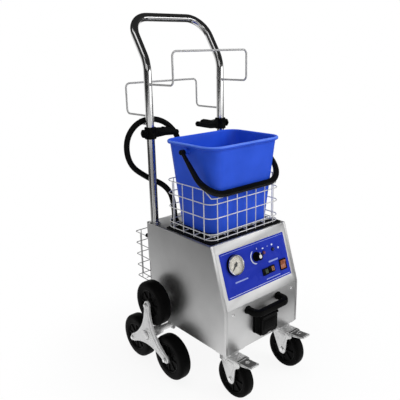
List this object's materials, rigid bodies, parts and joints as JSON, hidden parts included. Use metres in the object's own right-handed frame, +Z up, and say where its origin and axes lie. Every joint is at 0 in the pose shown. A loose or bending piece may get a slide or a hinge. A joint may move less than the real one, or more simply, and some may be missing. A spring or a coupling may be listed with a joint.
{
  "type": "trolley steam cleaner",
  "caption": "Stainless steam cleaner cart with sloped control panel, steam outlet, bucket in a wire basket, push handle with racks, braked casters and stair-climbing star wheels.",
  "frame": {"origin": "on the floor under the middle of the bounding box", "axes": "+Z up, +Y from the control panel to the push handle, +X to the right of a person facing the control panel"},
  "size_m": [0.4866, 0.5455, 1.1125],
  "materials": {
    "stainless": "satin",
    "zinc": "zinc plated",
    "screw_steel": "polished",
    "overlay_blue": "semi-gloss",
    "gauge_silver": "polished",
    "dial_white": "matt",
    "clear_lens": "clear",
    "needle_black": "matt",
    "black_plastic": "semi-matt",
    "orange_plastic": "gloss",
    "lamp_red": "gloss",
    "chrome_tube": "polished",
    "bright_wire": "bright",
    "black_rubber": "matt",
    "boiler_steel": "drawn",
    "brass": "machined",
    "tank_plastic": "translucent white",
    "pump_plastic": "matt",
    "board_green": "matt",
    "cast_aluminium": "cast",
    "wheel_black": "matt",
    "bucket_blue": "semi-gloss"
  },
  "bodies": {
    "chassis": {"left_side_panel": "stainless", "right_side_panel": "stainless", "front_panel": "stainless", "control_panel": "stainless", "deck_panel": "stainless", "rear_panel": "stainless", "base_tray": "zinc", "caster_plates": "zinc", "axle_brackets": "zinc", "rear_axle": "zinc", "casing_screws": "screw_steel", "control_overlay": "overlay_blue", "gauge_case": "gauge_silver", "gauge_dial": "dial_white", "gauge_lens": "clear_lens", "switch_bezels": "black_plastic", "steam_socket": "black_plastic", "front_handle": "black_plastic", "glands": "black_plastic", "pole_sockets": "black_plastic", "indicator_lamps": "lamp_red", "handle_frame": "chrome_tube", "wire_racks": "bright_wire", "wire_basket": "bright_wire", "rear_basket": "bright_wire", "deck_mat": "black_rubber", "steam_hose": "black_rubber", "boiler_tank": "boiler_steel", "steam_valve": "boiler_steel", "hose_connector": "brass", "heating_element": "brass", "water_tank": "tank_plastic", "water_pump": "pump_plastic", "circuit_board": "board_green"},
    "gauge_needle": {"gauge_needle": "needle_black"},
    "steam_knob": {"steam_knob": "black_plastic"},
    "steam_rocker": {"steam_rocker": "black_plastic"},
    "pump_rocker": {"pump_rocker": "black_plastic"},
    "mains_rocker": {"mains_rocker": "orange_plastic"},
    "socket_flap": {"socket_flap": "black_plastic"},
    "bucket": {"bucket": "bucket_blue"},
    "bucket_bail": {"bucket_bail": "black_plastic"},
    "left_caster": {"left_caster_fork": "zinc"},
    "left_caster_wheel": {"left_caster_wheel": "wheel_black"},
    "left_brake_pedal": {"left_brake_pedal": "zinc"},
    "left_spider": {"left_spider": "cast_aluminium"},
    "left_top_star_wheel": {"left_top_star_wheel": "wheel_black"},
    "left_front_star_wheel": {"left_front_star_wheel": "wheel_black"},
    "left_rear_star_wheel": {"left_rear_star_wheel": "wheel_black"},
    "left_tool_clip": {"left_tool_clip": "black_plastic"},
    "left_clip_knob": {"left_clip_knob": "black_plastic"},
    "right_caster": {"right_caster_fork": "zinc"},
    "right_caster_wheel": {"right_caster_wheel": "wheel_black"},
    "right_brake_pedal": {"right_brake_pedal": "zinc"},
    "right_spider": {"right_spider": "cast_aluminium"},
    "right_top_star_wheel": {"right_top_star_wheel": "wheel_black"},
    "right_front_star_wheel": {"right_front_star_wheel": "wheel_black"},
    "right_rear_star_wheel": {"right_rear_star_wheel": "wheel_black"},
    "right_tool_clip": {"right_tool_clip": "black_plastic"},
    "right_clip_knob": {"right_clip_knob": "black_plastic"}
  },
  "joints": [
    {"name": "gauge_needle_turn", "type": "hinge", "parent": "chassis", "child": "gauge_needle", "pos_m": [-0.087, -0.16211, 0.40433], "axis": [0, 0.9542, -0.2992], "range_deg": [0, 270], "stiffness_Nm_per_rad": 0.002},
    {"name": "steam_knob_turn", "type": "hinge", "parent": "chassis", "child": "steam_knob", "pos_m": [0.003, -0.16364, 0.40481], "axis": [0, 0.9542, -0.2992], "range_deg": [0, 270]},
    {"name": "steam_rocker_rock", "type": "hinge", "parent": "chassis", "child": "steam_rocker", "pos_m": [0.0285, -0.17101, 0.35053], "axis": [0, 0.2992, 0.9542], "range_deg": [0, 18]},
    {"name": "pump_rocker_rock", "type": "hinge", "parent": "chassis", "child": "pump_rocker", "pos_m": [0.0565, -0.17071, 0.35148], "axis": [0, 0.2992, 0.9542], "range_deg": [0, 18]},
    {"name": "mains_rocker_rock", "type": "hinge", "parent": "chassis", "child": "mains_rocker", "pos_m": [0.108, -0.17071, 0.35148], "axis": [-1, 0, 0], "range_deg": [0, 18]},
    {"name": "socket_flap_hinge", "type": "hinge", "parent": "chassis", "child": "socket_flap", "pos_m": [-0.008, -0.225, 0.242], "axis": [-1, 0, 0], "range_deg": [0, 90], "stiffness_Nm_per_rad": 0.02, "springref_deg": -17.19},
    {"name": "bucket_lift", "type": "slide", "parent": "chassis", "child": "bucket", "axis": [0, 0, 1], "range_m": [0, 0.15]},
    {"name": "bucket_bail_swing", "type": "hinge", "parent": "bucket", "child": "bucket_bail", "pos_m": [0, -0.021, 0.7244], "axis": [-1, 0, 0], "range_deg": [0, 140]},
    {"name": "left_caster_swivel", "type": "hinge", "parent": "chassis", "child": "left_caster", "pos_m": [-0.116, -0.1665, 0.135], "axis": [0, 0, 1], "continuous": true},
    {"name": "left_caster_roll", "type": "hinge", "parent": "left_caster", "child": "left_caster_wheel", "pos_m": [-0.116, -0.1905, 0.0625], "axis": [1, 0, 0], "continuous": true},
    {"name": "left_brake_press", "type": "hinge", "parent": "left_caster", "child": "left_brake_pedal", "pos_m": [-0.116, -0.2185, 0.1258], "axis": [1, 0, 0], "range_deg": [0, 10]},
    {"name": "left_star_turn", "type": "hinge", "parent": "chassis", "child": "left_spider", "pos_m": [-0.202, 0.0955, 0.1245], "axis": [1, 0, 0], "continuous": true},
    {"name": "left_top_wheel_roll", "type": "hinge", "parent": "left_spider", "child": "left_top_star_wheel", "pos_m": [-0.202, 0.0955, 0.2275], "axis": [1, 0, 0], "continuous": true},
    {"name": "left_front_wheel_roll", "type": "hinge", "parent": "left_spider", "child": "left_front_star_wheel", "pos_m": [-0.202, 0.0063, 0.073], "axis": [1, 0, 0], "continuous": true},
    {"name": "left_rear_wheel_roll", "type": "hinge", "parent": "left_spider", "child": "left_rear_star_wheel", "pos_m": [-0.202, 0.1847, 0.073], "axis": [1, 0, 0], "continuous": true},
    {"name": "left_clip_swing", "type": "hinge", "parent": "chassis", "child": "left_tool_clip", "pos_m": [-0.1455, 0.1475, 0.76], "axis": [0, 0, -1], "range_deg": [0, 25]},
    {"name": "left_clip_knob_turn", "type": "hinge", "parent": "left_tool_clip", "child": "left_clip_knob", "pos_m": [-0.1455, 0.1475, 0.76], "axis": [1, 0, 0], "range_deg": [0, 360]},
    {"name": "right_caster_swivel", "type": "hinge", "parent": "chassis", "child": "right_caster", "pos_m": [0.116, -0.1665, 0.135], "axis": [0, 0, 1], "continuous": true},
    {"name": "right_caster_roll", "type": "hinge", "parent": "right_caster", "child": "right_caster_wheel", "pos_m": [0.116, -0.1905, 0.0625], "axis": [1, 0, 0], "continuous": true},
    {"name": "right_brake_press", "type": "hinge", "parent": "right_caster", "child": "right_brake_pedal", "pos_m": [0.116, -0.2185, 0.1258], "axis": [1, 0, 0], "range_deg": [0, 10]},
    {"name": "right_star_turn", "type": "hinge", "parent": "chassis", "child": "right_spider", "pos_m": [0.202, 0.0955, 0.1245], "axis": [1, 0, 0], "continuous": true},
    {"name": "right_top_wheel_roll", "type": "hinge", "parent": "right_spider", "child": "right_top_star_wheel", "pos_m": [0.202, 0.0955, 0.2275], "axis": [1, 0, 0], "continuous": true},
    {"name": "right_front_wheel_roll", "type": "hinge", "parent": "right_spider", "child": "right_front_star_wheel", "pos_m": [0.202, 0.0063, 0.073], "axis": [1, 0, 0], "continuous": true},
    {"name": "right_rear_wheel_roll", "type": "hinge", "parent": "right_spider", "child": "right_rear_star_wheel", "pos_m": [0.202, 0.1847, 0.073], "axis": [1, 0, 0], "continuous": true},
    {"name": "right_clip_swing", "type": "hinge", "parent": "chassis", "child": "right_tool_clip", "pos_m": [0.1455, 0.1475, 0.76], "axis": [0, 0, -1], "range_deg": [-25, 180]},
    {"name": "right_clip_knob_turn", "type": "hinge", "parent": "right_tool_clip", "child": "right_clip_knob", "pos_m": [0.1455, 0.1475, 0.76], "axis": [1, 0, 0], "range_deg": [0, 360]}
  ]
}
